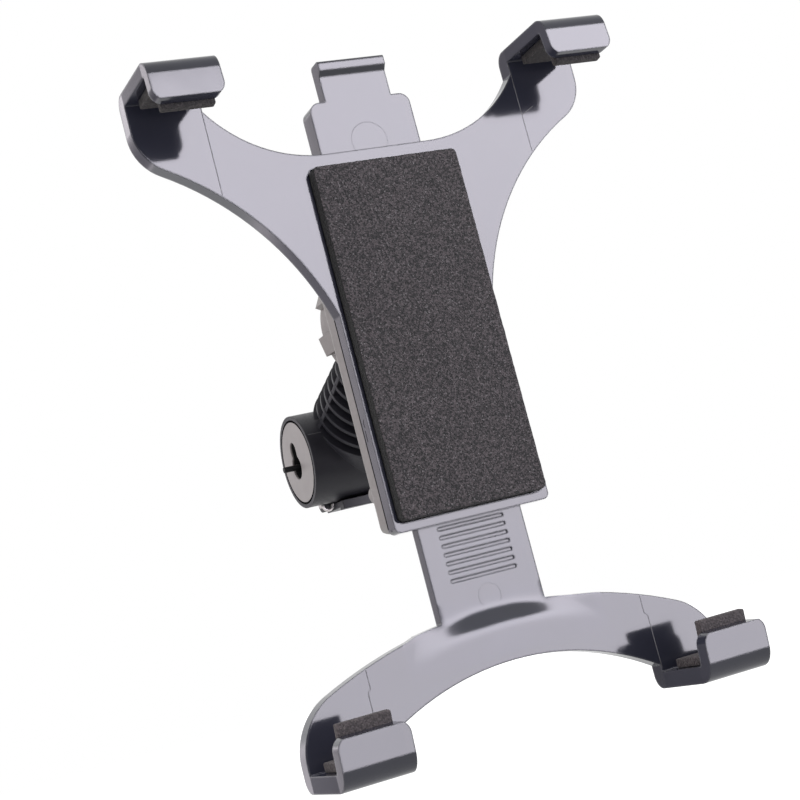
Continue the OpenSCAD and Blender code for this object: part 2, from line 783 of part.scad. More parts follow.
// The wide part of the tab seen from the front, drawn in by the given amount.
module tab_outline(i = 0) {
    w = tab_w / 2 - i;
    difference() {
        translate([-w, tab_low_z + i]) square([2 * w, tab_shoulder_z - tab_low_z - 2 * i]);
        both_sides() corner_cut(tab_w / 2 - tab_corner_r, tab_shoulder_z - tab_corner_r,
            tab_corner_r - i, 0, 90);
    }
}

module top_tab() {
    w = tab_neck_w / 2;
    front = tongue_y - bead_out;
    back = tongue_y + tab_neck_d;
    color("#2a2a30") on_holder() {
        // Tray: a front plate with a rim behind it.
        slab(tongue_y, tongue_y + tab_t) tab_outline();
        slab(tongue_y, tongue_y + tab_d) difference() {
            tab_outline();
            tab_outline(rim_t);
        }
        // Neck, with a finger bead that has a sloped underside and a rounded top.
        slab(tongue_y, back) translate([-w, tab_shoulder_z - rim_t])
            square([2 * w, tab_top_z - 1 - tab_shoulder_z + rim_t]);
        bar(-w, w) {
            polygon([[tongue_y + eps, tab_top_z - bead_h - bead_out], [front, tab_top_z - bead_h],
                     [front, tab_top_z - 1], [back - 1, tab_top_z - 1],
                     [back - 1, tab_top_z - bead_h - bead_out]]);
            translate([front + 1, tab_top_z - 2]) square([back - front - 2, 2]);
            for (y = [front + 1, back - 1]) translate([y, tab_top_z - 1]) circle(1, $fn = 32);
        }
    }
}

// Ring nut round the socket, with grip lugs and a round lip over the ball.
module lock_ring() {
    front = ring_front - ball_y;
    color("#24242a") on_holder() translate([0, ball_y, ball_z]) rotate([-90, 0, 0]) {
        rotate_extrude() difference() {
            polygon([[boss_out_r, front], [ring_r, front], [ring_r, lip_back - ring_edge],
                     [ring_r - ring_edge, lip_back], [mouth_r + mouth_flare, lip_back],
                     [mouth_r - mouth_flare, lip_back - 2.6], [mouth_r - mouth_flare, ball_gap],
                     [boss_out_r, ball_gap]]);
            circle(thrust_in_r);
        }
        for (k = [0 : lug_n - 1]) rotate((k + lug_turn) * 360 / lug_n)
            translate([ring_r - ring_edge, -lug_w / 2, front + lug_step])
                cube([lug_out + ring_edge, lug_w, lip_back - front - 2 - lug_step]);
    }
}

// Cap of a sphere between the liner and the front of the socket.
module thrust_pad() {
    color("#d8d2c6") on_holder() translate([0, ball_y, ball_z]) difference() {
        intersection() {
            sphere(thrust_out_r);
            translate([-far / 2, -far, -far / 2]) cube([far, far - thrust_low, far]);
        }
        sphere(thrust_in_r);
    }
}

// Thin cup that wraps the ball past its widest line.
module ball_liner() {
    color("#e8e4da") on_holder() translate([0, ball_y, ball_z]) rotate([-90, 0, 0]) difference() {
        sphere(liner_out_r);
        sphere(liner_in_r);
        translate([0, 0, ball_r * cos(mouth_a)]) cylinder(h = far, r = far);
    }
}

module ball_stud() {
    color("#3c3c42") on_neck() translate([0, 0, neck_len]) {
        sphere(ball_r);
        translate([0, 0, -neck_len + neck_end - 8]) cylinder(h = neck_len - neck_end + 8, r = stem_r);
    }
}

// The keyhole slot of an end cap, seen from the end.
module keyhole() {
    translate([key_y, key_low]) circle(key_r);
    translate([key_y - key_w / 2, key_low]) square([key_w, key_h - key_r - key_w / 2]);
    translate([key_y, key_low + key_h - key_r - key_w / 2]) circle(key_w / 2);
}

module hub_barrel() {
    color("#33333a") difference() {
        union() {
            rotate([0, 90, 0]) cylinder(h = barrel_l, r = barrel_r, center = true);
            // Finned neck: a web along the mould's parting plane, a core and round fins.
            on_neck() {
                cylinder(h = neck_end, r = core_r);
                cylinder(h = neck_start, r1 = barrel_r - 1, r2 = fin_low_r);
                translate([0, web_t / 2, 0]) rotate([90, 0, 0]) linear_extrude(web_t)
                    polygon([[-fin_low_r, neck_start - 2], [fin_low_r, neck_start - 2],
                        [fin_high_r, neck_start + (fin_n - 1) * fin_pitch + fin_t / 2],
                        [-fin_high_r, neck_start + (fin_n - 1) * fin_pitch + fin_t / 2]]);
                for (k = [0 : fin_n - 1])
                    translate([0, 0, neck_start + k * fin_pitch - fin_t / 2])
                        cylinder(h = fin_t, r = fin_low_r - k * fin_step);
            }
            // Ears for the paddle's pin.
            both_sides() bar(ear_x, ear_x + ear_w) {
                translate([paddle_pin_y, paddle_pin_z]) circle(ear_r);
                translate([paddle_pin_y - ear_r, paddle_pin_z])
                    square([2 * ear_r, barrel_r * 0.3]);
            }
        }
        // Hollow inside, with a seat for each cap.
        rotate([0, 90, 0]) cylinder(h = far, r = bore_r, center = true);
        both_sides() translate([barrel_l / 2 - cap_t, 0, 0]) rotate([0, 90, 0])
            cylinder(h = far, r = cap_r + seat_gap);
        // Bore for the ball's stem.
        on_neck() translate([0, 0, neck_end - 8]) cylinder(h = far, r = stem_r + seat_gap);
        // Slot for the latch's post, and the pin's bores.
        translate([-post_w / 2 - slide_gap, latch_pin_y - key_y - post_d - slide_gap, -far])
            cube([post_w + 2 * slide_gap, post_d + 2 * slide_gap, far]);
        translate([0, paddle_pin_y, paddle_pin_z]) rotate([0, 90, 0])
            cylinder(h = 2 * (ear_x + ear_w) + 2, r = paddle_pin_r + seat_gap, center = true);
    }
}

module end_cap() {
    color("#b4aeac") difference() {
        translate([barrel_l / 2 - cap_t, 0, 0]) rotate([0, 90, 0]) cylinder(h = cap_t, r = cap_r);
        bar(0, far) keyhole();
    }
}

// Cross bar inside the barrel, with a pin through each keyhole and a post down to the paddle.
module latch_bar() {
    inner = barrel_l / 2 - cap_t - slide_gap;
    color("#8a8684") {
        bar(-inner, inner) translate([key_y - latch_d / 2, latch_z - latch_h / 2])
            square([latch_d, latch_h]);
        translate([0, latch_pin_y, latch_z]) rotate([0, 90, 0])
            cylinder(h = barrel_l + 2 * latch_out, r = latch_pin_r, center = true);
        translate([-post_w / 2, latch_pin_y - key_y - post_d, paddle_z + paddle_t + slide_gap])
            cube([post_w, post_d, latch_z - paddle_z - paddle_t - slide_gap]);
    }
}

module release_paddle() {
    color("#2c2c32") difference() {
        union() {
            bar(-paddle_l / 2, paddle_l / 2) {
                translate([paddle_pin_y - paddle_w, paddle_z]) square([paddle_w, paddle_t]);
                translate([paddle_pin_y - paddle_w, paddle_z - paddle_t / 2]) square([3.4, paddle_t]);
                translate([paddle_pin_y, paddle_pin_z]) circle(ear_r);
                translate([paddle_pin_y - ear_r, paddle_z]) square([2 * ear_r, paddle_pin_z - paddle_z]);
            }
        }
        translate([0, paddle_pin_y, paddle_pin_z]) rotate([0, 90, 0])
            cylinder(h = far, r = paddle_pin_r + seat_gap, center = true);
        // Room for the barrel, over the paddle's whole swing.
        rotate([0, 90, 0]) cylinder(h = far, r = barrel_r + slide_gap, center = true);
    }
}

module paddle_pin() {
    color("silver") translate([0, paddle_pin_y, paddle_pin_z]) rotate([0, 90, 0])
        cylinder(h = 2 * (ear_x + ear_w + 0.4), r = paddle_pin_r, center = true);
}

// Wire loop that hangs under the barrel beside the paddle.
module paddle_spring() {
    color("#c8c4be") translate([-spring_x, 0, -barrel_r - wire_r - seat_gap]) rotate([90, 0, 0])
        rotate([0, 0, 180]) rotate_extrude(angle = 180) translate([spring_r, 0]) circle(wire_r, $fn = 24);
}

front_cover();
back_shell();
foam_pad();
shell_screws();
detent_leaf();
upper_lining(-1);  // upper_lining_left
upper_lining(1);  // upper_lining_right
lower_bracket();
lower_lining(-1);  // lower_lining_left
lower_lining(1);  // lower_lining_right
top_tab();
lock_ring();
thrust_pad();
ball_liner();
ball_stud();
hub_barrel();
mirror([1, 0, 0]) end_cap();  // end_cap_left
end_cap();  // end_cap_right
latch_bar();
release_paddle();
paddle_pin();
paddle_spring();
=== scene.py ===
# Headrest tablet mount: materials, foam pieces, small surface marks, light and camera.
# Everything is in metres, in the row frame: the barrel's middle is the origin,
# X runs along the barrel and the holder's front looks towards -Y.
import json
import math

import bmesh
import bpy
from mathutils import Matrix, Vector


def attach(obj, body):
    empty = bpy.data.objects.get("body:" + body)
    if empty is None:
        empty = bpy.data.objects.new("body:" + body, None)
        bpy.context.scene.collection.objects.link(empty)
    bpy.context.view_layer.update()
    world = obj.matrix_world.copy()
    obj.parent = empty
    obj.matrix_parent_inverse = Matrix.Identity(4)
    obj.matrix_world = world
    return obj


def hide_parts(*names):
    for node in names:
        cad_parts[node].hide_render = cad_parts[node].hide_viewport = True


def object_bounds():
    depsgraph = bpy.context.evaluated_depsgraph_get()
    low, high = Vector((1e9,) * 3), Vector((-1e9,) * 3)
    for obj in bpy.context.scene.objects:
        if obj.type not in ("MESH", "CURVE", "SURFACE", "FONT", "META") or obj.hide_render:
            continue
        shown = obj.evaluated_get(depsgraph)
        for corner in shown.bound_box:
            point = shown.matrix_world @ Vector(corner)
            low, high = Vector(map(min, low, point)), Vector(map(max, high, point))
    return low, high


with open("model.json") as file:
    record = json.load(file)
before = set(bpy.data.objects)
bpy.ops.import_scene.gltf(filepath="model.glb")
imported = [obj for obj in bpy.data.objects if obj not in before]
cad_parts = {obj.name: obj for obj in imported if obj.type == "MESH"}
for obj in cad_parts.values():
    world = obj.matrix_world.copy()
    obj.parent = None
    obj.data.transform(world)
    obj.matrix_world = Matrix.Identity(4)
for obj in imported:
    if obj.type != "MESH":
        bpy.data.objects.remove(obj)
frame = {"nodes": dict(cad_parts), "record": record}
cad_box = [list(v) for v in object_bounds()]
nodes = frame["nodes"]
MM = 0.001

# The holder's own origin is the middle of the foam's face. These are the same
# named values as in part.scad, in millimetres.
NECK_LEN, NECK_RISE, BALL_Y, BALL_Z = 54.8, math.radians(33.4), 26.4, 9.5
HOLDER = Vector((
    0,
    -NECK_LEN * math.cos(NECK_RISE) - BALL_Y,
    NECK_LEN * math.sin(NECK_RISE) - BALL_Z,
))
FOAM_W, FOAM_H, FOAM_PROUD, FOAM_SEAT, FOAM_R = 44.2, 100.0, 3.6, 1.2, 1.6
COVER_Y, TONGUE_Y, ARCH_Y = 3.6, 7.2, 2.2
# The step's rounded slope lies between these two heights, within this half width.
STEP_LOW_Z, STEP_TOP_Z = (HOLDER.z - 92.0) * MM, (HOLDER.z - 73.0) * MM
STEP_FADE, STEP_HALF_W, STEP_END_FADE = 0.002, 0.0300, 0.0006
# Its edges look rounded to this radius, and its slope dies away between these half widths.
STEP_SOFT_R, STEP_FULL_W, STEP_GONE_W = 0.003, 0.006, 0.029
# How far its slope turns towards the front, in the middle and at the two ends.
STEP_TURN = (0.24, 0.9)
# Only surfaces that face the front take part. This is where their own Y direction fades out.
STEP_FACING = (-0.45, -0.3)


def at(x, y, z):
    """A point given in millimetres from the foam's face, in metres in the row frame."""
    return (HOLDER + Vector((x, y, z))) * MM


# The end caps' outer face is 21.5 mm out. Inside the keyhole the cap is painted dark over this
# depth, as painted shade.
KEYHOLE_DEEP, KEYHOLE_EDGE = 0.0208, 0.0213

# Scales of the noise on satin mouldings: the eroded grain and the soft clouds of tone.
GRAIN, CLOUDS = 3200.0, 70.0
SMALL_EDGE = 0.0002
# DEEP_BLACK is the painted shade inside the end caps' keyholes, and also the latch's own black.
WHITE, DEEP_BLACK = (1.0, 1.0, 1.0), (0.006, 0.006, 0.007)


# Materials
class Wires:
    """Short ways to add shader nodes to one node tree and to join them."""

    def __init__(self, tree):
        self.nt = tree

    def plug(self, socket, value):
        """Joins another node's output to the socket, or sets the socket to a plain value."""
        if getattr(value, "is_output", False):
            self.nt.links.new(value, socket)
        else:
            socket.default_value = value

    def spread(self, value, lo, hi, a, b):
        """Maps value from lo..hi to a..b, held at the ends."""
        n = self.nt.nodes.new("ShaderNodeMapRange")
        self.nt.links.new(value, n.inputs["Value"])
        for key, v in (("From Min", lo), ("From Max", hi), ("To Min", a), ("To Max", b)):
            n.inputs[key].default_value = v
        return n.outputs["Result"]

    def math(self, operation, *values):
        """One step of arithmetic on outputs or plain values."""
        n = self.nt.nodes.new("ShaderNodeMath")
        n.operation = operation
        for socket, value in zip(n.inputs, values):
            self.plug(socket, value)
        return n.outputs[0]

    def split(self, vector):
        """The three parts of a vector."""
        n = self.nt.nodes.new("ShaderNodeSeparateXYZ")
        self.nt.links.new(vector, n.inputs[0])
        return n.outputs

    def seen(self, *rays):
        """1 for the named kinds of rays, and 0 for the others."""
        path = self.nt.nodes.new("ShaderNodeLightPath")
        share = path.outputs[rays[0]]
        for ray in rays[1:]:
            share = self.math("MAXIMUM", share, path.outputs[ray])
        return share

    def place(self):
        """The position of the shaded point, in metres in the row frame."""
        return self.nt.nodes.new("ShaderNodeNewGeometry").outputs["Position"]

    def glow(self, color, strength):
        """Light given off in one colour, with the strength from another node."""
        n = self.nt.nodes.new("ShaderNodeEmission")
        n.inputs["Color"].default_value = (*color, 1.0)
        self.nt.links.new(strength, n.inputs["Strength"])
        return n.outputs[0]


def new_material(name):
    """An empty material and its node tree."""
    mat = bpy.data.materials.new(name)
    mat.use_nodes = True
    mat.node_tree.nodes.clear()
    return mat, mat.node_tree


class Graph(Wires):
    """Builds one procedural material for the object."""

    def __init__(self, name):
        self.mat, tree = new_material(name)
        super().__init__(tree)
        out = self.nt.nodes.new("ShaderNodeOutputMaterial")
        self.bsdf = self.nt.nodes.new("ShaderNodeBsdfPrincipled")
        self.nt.links.new(self.bsdf.outputs[0], out.inputs[0])
        self.coord = self.nt.nodes.new("ShaderNodeTexCoord").outputs["Object"]
        self.normal = None

    def noise(self, scale, detail=2.0, rough=0.5):
        """Smooth noise between 0 and 1, with scale in waves per metre."""
        n = self.nt.nodes.new("ShaderNodeTexNoise")
        self.nt.links.new(self.coord, n.inputs["Vector"])
        n.inputs["Scale"].default_value = scale
        n.inputs["Detail"].default_value = detail
        n.inputs["Roughness"].default_value = rough
        return n.outputs["Fac"]

    def voronoi(self, scale):
        """The outputs of a pattern of small cells, with scale in cells per metre."""
        n = self.nt.nodes.new("ShaderNodeTexVoronoi")
        self.nt.links.new(self.coord, n.inputs["Vector"])
        n.inputs["Scale"].default_value = scale
        return n.outputs

    def cells(self, scale):
        """The distance from the middle of the nearest cell."""
        return self.voronoi(scale)["Distance"]

    def grains(self, scale):
        """One random tone for each small cell, between 0 and 1."""
        part = self.nt.nodes.new("ShaderNodeSeparateColor")
        self.nt.links.new(self.voronoi(scale)["Color"], part.inputs[0])
        return part.outputs[0]

    def tones(self, scale, detail, rough, a, b, lo=0.3, hi=0.7):
        """Two colours mixed by noise, for the small changes in tone of a moulding."""
        return self.blend(self.spread(self.noise(scale, detail, rough), lo, hi, 0.0, 1.0), a, b)

    def blend(self, fac, a, b):
        """The colour a share fac of the way from a to b."""
        n = self.nt.nodes.new("ShaderNodeMix")
        n.data_type = "RGBA"
        self.plug(n.inputs[0], fac)
        for socket, color in ((n.inputs[6], a), (n.inputs[7], b)):
            self.plug(socket, (*color, 1.0) if isinstance(color, tuple) else color)
        return n.outputs[2]

    def rounded(self, radius, samples=4):
        """The surface direction as if sharp edges were rounded to the radius."""
        n = self.nt.nodes.new("ShaderNodeBevel")
        n.samples = samples
        n.inputs["Radius"].default_value = radius
        return n.outputs["Normal"]

    def soft_edges(self, radius):
        """Lets the light catch the edges as on a moulding, without changing the mesh."""
        self.normal = self.rounded(radius)

    def bump(self, height, strength, distance):
        """Adds relief on top of what the surface direction already has."""
        n = self.nt.nodes.new("ShaderNodeBump")
        self.nt.links.new(height, n.inputs["Height"])
        n.inputs["Strength"].default_value = strength
        n.inputs["Distance"].default_value = distance
        if self.normal is not None:
            self.nt.links.new(self.normal, n.inputs["Normal"])
        self.normal = n.outputs["Normal"]

    def turned(self, vector, source, target):
        """A direction carried between the part's own frame and the world's, in any pose."""
        n = self.nt.nodes.new("ShaderNodeVectorTransform")
        n.vector_type = "NORMAL"
        n.convert_from, n.convert_to = source, target
        self.plug(n.inputs[0], vector)
        return n.outputs[0]

    def mix_normals(self, fac, a, b):
        """The surface direction a share fac of the way from a to b."""
        mix = self.nt.nodes.new("ShaderNodeMix")
        mix.data_type = "VECTOR"
        self.plug(mix.inputs[0], fac)
        self.plug(mix.inputs[4], a)
        self.plug(mix.inputs[5], b)
        unit = self.nt.nodes.new("ShaderNodeVectorMath")
        unit.operation = "NORMALIZE"
        self.nt.links.new(mix.outputs[1], unit.inputs[0])
        return unit.outputs[0]

    def blend_step(self):
        """Makes the slope of the step soft, and lets it die away towards its two ends."""
        x, _, z = self.split(self.coord)
        width = self.math("ABSOLUTE", x)
        inside = self.spread(width, STEP_HALF_W, STEP_HALF_W + STEP_END_FADE, 1.0, 0.0)
        above = self.spread(z, STEP_LOW_Z, STEP_LOW_Z + STEP_FADE, 0.0, 1.0)
        below = self.spread(z, STEP_TOP_Z - STEP_FADE, STEP_TOP_Z, 1.0, 0.0)
        band = self.math("MULTIPLY", above, below)
        own = self.turned(self.normal, "WORLD", "OBJECT")
        facing = self.spread(self.split(own)[1], *STEP_FACING, 1.0, 0.0)
        here = self.math("MULTIPLY", self.math("MULTIPLY", inside, facing), band)
        soft = self.mix_normals(here, self.normal, self.rounded(STEP_SOFT_R, 8))
        rise = self.spread(width, STEP_FULL_W, STEP_GONE_W, *STEP_TURN)
        front = self.turned((0.0, -1.0, 0.0), "OBJECT", "WORLD")
        self.normal = self.mix_normals(self.math("MULTIPLY", rise, here), soft, front)
        return here

    def done(self, color, rough, ior=1.5, metal=0.0, sheen=0.0, spec=0.5):
        """Sets the surface and gives the finished material."""
        b = self.bsdf.inputs
        self.plug(b["Base Color"], (*color, 1.0) if isinstance(color, tuple) else color)
        self.plug(b["Roughness"], rough)
        b["IOR"].default_value = ior
        b["Metallic"].default_value = metal
        b["Sheen Weight"].default_value = sheen
        b["Specular IOR Level"].default_value = spec
        if self.normal is not None:
            self.nt.links.new(self.normal, b["Normal"])
        return self.mat


def gloss_plastic(name, edge, step=False):
    """Polished black moulding: nearly smooth, with a faint flow wave and fine dust."""
    g = Graph(name)
    g.soft_edges(edge)
    g.bump(g.noise(20.0, 1.0, 0.4), 0.08, 0.0006)
    g.bump(g.noise(900.0, 1.0, 0.5), 0.012, 0.0001)
    tint = g.tones(25.0, 3.0, 0.5, (0.027, 0.028, 0.043), (0.040, 0.041, 0.062), lo=0.35)
    dust = g.spread(g.cells(420.0), 0.0, 0.12, 1.0, 0.0)
    tint = g.blend(g.spread(dust, 0.6, 1.0, 0.0, 0.25), tint, (0.10, 0.10, 0.11))
    rough = g.spread(g.noise(60.0, 3.0, 0.6), 0.3, 0.75, 0.07, 0.14)
    if step:
        rough = g.math("ADD", rough, g.math("MULTIPLY", g.blend_step(), 0.08))
    return g.done(tint, rough, ior=1.52)


def painted_shade(name):
    """Near-black with no reflection: painted shade for a narrow joint or slit."""
    g = Graph(name)
    tint = g.blend(g.noise(300.0), (0.004, 0.004, 0.005), (0.009, 0.009, 0.010))
    return g.done(tint, 0.9, spec=0.0)


def satin_plastic(name, lo, hi, rough, edge, grain=0.05, spec=0.5):
    """Spark-eroded moulding: fine even grain and a little variation in tone."""
    g = Graph(name)
    g.soft_edges(edge)
    g.bump(g.noise(GRAIN, 2.0, 0.6), grain, 0.0002)
    tint = g.tones(CLOUDS, 4.0, 0.6, lo, hi)
    r = g.spread(g.noise(1500.0, 1.0), 0.3, 0.7, rough - 0.05, rough + 0.06)
    return g.done(tint, r, ior=1.5, spec=spec)


def cap_plastic(name):
    """Grey end cap, with painted shade inside its keyhole."""
    g = Graph(name)
    g.soft_edges(SMALL_EDGE)
    g.bump(g.noise(GRAIN, 2.0, 0.6), 0.03, 0.0002)
    tint = g.tones(CLOUDS, 4.0, 0.6, (0.30, 0.272, 0.275), (0.35, 0.322, 0.322))
    # Painted shade: the cap turns near-black towards the bottom of its keyhole.
    keyhole_shade = g.spread(g.math("ABSOLUTE", g.split(g.coord)[0]), KEYHOLE_DEEP, KEYHOLE_EDGE, 1.0, 0.0)
    color = g.blend(keyhole_shade, tint, DEEP_BLACK)
    return g.done(color, g.spread(keyhole_shade, 0.0, 1.0, 0.36, 0.9), spec=0.35)


def latch_plastic(name):
    """Black latch moulding with a brown-grey painted highlight on its top face."""
    g = Graph(name)
    g.soft_edges(SMALL_EDGE)
    up = g.nt.nodes.new("ShaderNodeNewGeometry").outputs["Normal"]
    # Painted highlight: faces that look up take a brown-grey tone, and the others stay black.
    top = g.spread(g.split(up)[2], 0.9, 0.97, 0.0, 1.0)
    top_highlight = g.blend(g.noise(400.0, 3.0), (0.20, 0.165, 0.15), (0.30, 0.255, 0.235))
    return g.done(g.blend(top, DEEP_BLACK, top_highlight), 0.5, spec=0.25)


def foam(name, dark, pale, glint_color, cell, depth):
    """Open-cell foam: pores, a mottled tone, a tone for each cell and painted glints on small cell
    walls.
    """
    g = Graph(name)
    pores = g.cells(cell)
    g.bump(pores, 0.9, depth)
    g.bump(g.noise(cell * 1.2, 2.0, 0.6), 0.6, depth)
    tone = g.blend(g.spread(g.grains(cell * 1.05), 0.3, 0.9, 0.0, 1.0), dark, pale)
    mottle = g.spread(g.noise(cell * 0.3, 3.0, 0.6), 0.35, 0.7, 0.3, 0.0)
    tone = g.blend(mottle, tone, tuple(0.5 * c for c in dark))
    # Painted glints: a few cells take the bright colour, as if light caught their walls.
    tone = g.blend(g.spread(g.grains(cell * 1.3), 0.955, 0.985, 0.0, 0.8), tone, glint_color)
    return g.done(tone, 0.85, sheen=0.12, spec=0.3)


def metal(name, color, rough):
    """Drawn or rolled metal, with a little variation in tone and polish."""
    g = Graph(name)
    g.soft_edges(0.00025)
    g.bump(g.noise(2600.0, 2.0), 0.05, 0.0001)
    tone = g.tones(300.0, 3.0, 0.5, color, tuple(0.8 * c for c in color))
    return g.done(tone, g.spread(g.noise(900.0), 0.3, 0.7, rough - 0.06, rough + 0.08), metal=1.0)


# The name, the darker and the lighter tone, then the roughness and the edge radius. Some add
# the strength of the grain, and one the strength of the reflection.
# The shell's light grey is partly its own tone and partly painted reflection of the white
# surroundings at grazing angles; the lock ring's lugs take it as painted highlight.
SHELL = ("satin_shell_plastic", (0.205, 0.182, 0.180), (0.255, 0.230, 0.228), 0.38, 0.0005)
HUB = (
    "satin_black_plastic", (0.0155, 0.015, 0.0205), (0.026, 0.025, 0.032), 0.40, 0.0004, 0.09, 0.3,
)
NYLON = ("natural_nylon", (0.66, 0.64, 0.58), (0.76, 0.74, 0.69), 0.4, 0.0003)
INSERT_LINE = ("insert_line_plastic", (0.012, 0.012, 0.016), (0.02, 0.02, 0.024), 0.5, 0.0001, 0.02)
BARREL_SEAM = (
    "barrel_seam_plastic", (0.05, 0.05, 0.055), (0.065, 0.065, 0.07), 0.45, 0.0001, 0.02,
)

# The name, the dark and pale tone and the colour of the painted glints, then the cells per metre
# and the depth of the pores.
PAD = (
    "charcoal_foam",
    (0.001, 0.001, 0.001), (0.140, 0.115, 0.127), (0.27, 0.25, 0.27), 2400.0, 0.0004,
)
LINING = (
    "lining_foam",
    (0.018, 0.015, 0.016), (0.056, 0.046, 0.049), (0.08, 0.07, 0.07), 1900.0, 0.0003,
)
PALE_LINING = (
    "lower_lining_foam",
    (0.050, 0.040, 0.043), (0.120, 0.098, 0.105), (0.15, 0.13, 0.13), 1900.0, 0.0003,
)
# The pad's sides are darker than its face.
CUT_SIDE = (
    "foam_cut_side",
    (0.003, 0.0025, 0.003), (0.010, 0.009, 0.010), (0.02, 0.02, 0.02), 1900.0, 0.0004,
)

MATS = {
    "gloss_black": gloss_plastic("gloss_black_plastic", 0.0007),
    "satin_shell": satin_plastic(*SHELL),
    "satin_black": satin_plastic(*HUB),
    "nylon": satin_plastic(*NYLON),
    "cap_grey": cap_plastic("cap_grey_plastic"),
    "latch_grey": latch_plastic("latch_grey_plastic"),
    "steel": metal("spring_steel", (0.66, 0.63, 0.62), 0.42),
    "charcoal_foam": foam(*PAD),
    "lining_foam": foam(*LINING),
}
SLOT_OF = {s["node"]: s["material_slot"] for s in frame["record"]["subparts"]}
LOWER_LINING = foam(*PALE_LINING)
STEP_GLOSS = gloss_plastic("bracket_gloss_black_plastic", 0.0007, step=True)
for name, obj in nodes.items():
    mat = STEP_GLOSS if name == "lower_bracket" else MATS[SLOT_OF[name]]
    if len(obj.material_slots) == 0:
        obj.data.materials.append(mat)
    for s in obj.material_slots:
        s.material = mat


# Pieces
def piece(name, bm, mat, body):
    """Makes one smooth-shaded piece of the scene, which rides on the body."""
    me = bpy.data.meshes.new(name)
    bm.normal_update()
    bm.to_mesh(me)
    bm.free()
    ob = bpy.data.objects.new(name, me)
    bpy.context.scene.collection.objects.link(ob)
    for m in (mat if isinstance(mat, (list, tuple)) else [mat]):
        me.materials.append(m)
    for p in me.polygons:
        p.use_smooth = True
    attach(ob, body)
    return ob


HASH_I, HASH_J, HASH_K, HASH_MIX = 374761393, 668265263, 2147483647, 1274126177


def hash_noise(x, y, z):
    """Smooth value noise in -1..1 from fixed hashes, so every run gives the same foam."""
    def h(i, j, k):
        n = (i * HASH_I + j * HASH_J + k * HASH_K) & 0xFFFFFFFF
        n = ((n ^ (n >> 13)) * HASH_MIX) & 0xFFFFFFFF
        return ((n ^ (n >> 16)) & 0xFFFF) / 32767.5 - 1.0
    i, j, k = math.floor(x), math.floor(y), math.floor(z)
    fx, fy, fz = x - i, y - j, z - k
    fx, fy, fz = (t * t * (3 - 2 * t) for t in (fx, fy, fz))
    v = 0.0
    for di, wx in ((0, 1 - fx), (1, fx)):
        for dj, wy in ((0, 1 - fy), (1, fy)):
            for dk, wz in ((0, 1 - fz), (1, fz)):
                v += wx * wy * wz * h(i + di, j + dj, k + dk)
    return v


def round_corner(x, z, w, h):
    """Moves a point in a corner of the w by h half-size rectangle into its rounded corner."""
    u, v = abs(x) - (w - FOAM_R), abs(z) - (h - FOAM_R)
    if u <= 0 or v <= 0:
        return x, z
    f = max(u, v) / math.hypot(u, v)
    return math.copysign(w - FOAM_R + u * f, x), math.copysign(h - FOAM_R + v * f, z)


# The pad's grid, and how far behind its face and out past its outline the face and each ring
# of its rounded edge lie. The sides' darker material starts past CUT_SIDE_DEPTH.
FOAM_STEPS = (88, 200)
FOAM_FACE = (0.02, -0.55)
FOAM_RINGS = (
    (0.12, -0.18),
    (0.4, -0.02),
    (0.9, 0.0),
    (1.8, 0.0),
    (2.8, 0.0),
    (FOAM_PROUD + FOAM_SEAT - 0.05, 0.0),
)
CUT_SIDE_DEPTH = 0.2
# The face's waves: height, waves per millimetre and shift.
FOAM_WAVES = ((0.07, 1.6, 0), (0.05, 0.7, 40))


def foam_block():
    """The main pad: a die-cut block with slightly soft front edges and a grainy face."""
    bm = bmesh.new()
    nx, nz = FOAM_STEPS
    w, h = FOAM_W / 2, FOAM_H / 2

    def spot(i, j, out):
        """Grid point i, j when the outline is moved out by out."""
        x = -w + 2 * w * i / nx
        z = -h + 2 * h * j / nz
        return round_corner(x * (w + out) / w, z * (h + out) / h, w + out, h + out)

    def bumped(x, y, z, nxv, ny, nzv):
        """The point moved by the waves along the given direction."""
        g = sum(
            height * hash_noise(x * scale + shift, y * scale, z * scale)
            for height, scale, shift in FOAM_WAVES
        )
        return at(x + nxv * g, y + ny * g, z + nzv * g)

    depth, inset = FOAM_FACE
    face = [[None] * (nz + 1) for _ in range(nx + 1)]
    for i in range(nx + 1):
        for j in range(nz + 1):
            x, z = spot(i, j, inset)
            face[i][j] = bm.verts.new(bumped(x, depth, z, 0, -1, 0))
    for i in range(nx):
        for j in range(nz):
            bm.faces.new((face[i][j], face[i + 1][j], face[i + 1][j + 1], face[i][j + 1]))
    # The outline, once round, for the side rings.
    loop = [(i, 0) for i in range(nx)] + [(nx, j) for j in range(nz)]
    loop += [(i, nz) for i in range(nx, 0, -1)] + [(0, j) for j in range(nz, 0, -1)]
    previous = [face[i][j] for i, j in loop]
    for d, o in FOAM_RINGS:
        ring = []
        for i, j in loop:
            x, z = spot(i, j, o)
            sx = -1 if i == 0 else 1 if i == nx else 0
            sz = -1 if j == 0 else 1 if j == nz else 0
            ring.append(bm.verts.new(bumped(x, d, z, sx, 0, sz)))
        n = len(loop)
        for k in range(n):
            f = bm.faces.new((previous[k], ring[k], ring[(k + 1) % n], previous[(k + 1) % n]))
            f.material_index = 1 if d > CUT_SIDE_DEPTH else 0
        previous = ring
    bm.faces.new(list(reversed(previous))).material_index = 1
    bmesh.ops.recalc_face_normals(bm, faces=bm.faces)
    mats = [MATS["charcoal_foam"], foam(*CUT_SIDE)]
    ob = piece("foam_face_pad", bm, mats, "holder")
    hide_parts("foam_pad")


# The linings' edge radius, the angles in radians that count as sharp and as flat, and the
# distance within which points are joined.
LINING_EDGE_R, SHARP_ANGLE, FLAT_ANGLE, WELD = 0.00045, 0.6, 0.03, 0.00002


